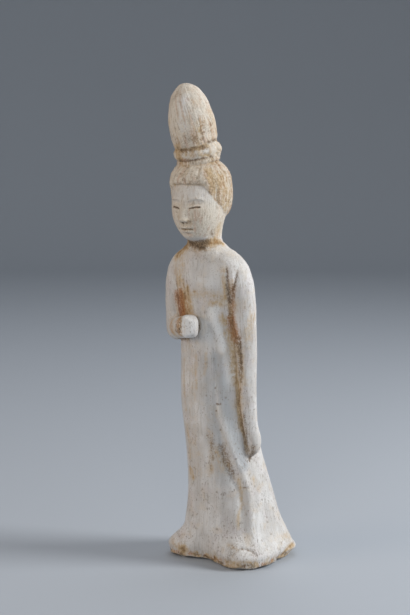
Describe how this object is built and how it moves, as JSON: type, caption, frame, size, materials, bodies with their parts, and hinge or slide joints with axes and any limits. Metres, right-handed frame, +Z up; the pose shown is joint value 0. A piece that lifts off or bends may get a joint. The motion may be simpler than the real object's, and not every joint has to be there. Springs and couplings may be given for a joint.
{
  "type": "tomb attendant figure",
  "caption": "Slender standing court attendant in white-slipped earthenware: long skirt, one arm hanging, one fist held at the waist, tall corded knot of hair",
  "frame": {"origin": "middle of the skirt's hem on the flat underside", "axes": "+Z up along the figure, -Y the way the figure faces, +X towards its left hand"},
  "size_m": [0.0775, 0.0741, 0.2995],
  "materials": {
    "slipped_earthenware": "matt"
  },
  "bodies": {
    "root": {"attendant_figure": "slipped_earthenware"}
  },
  "joints": []
}
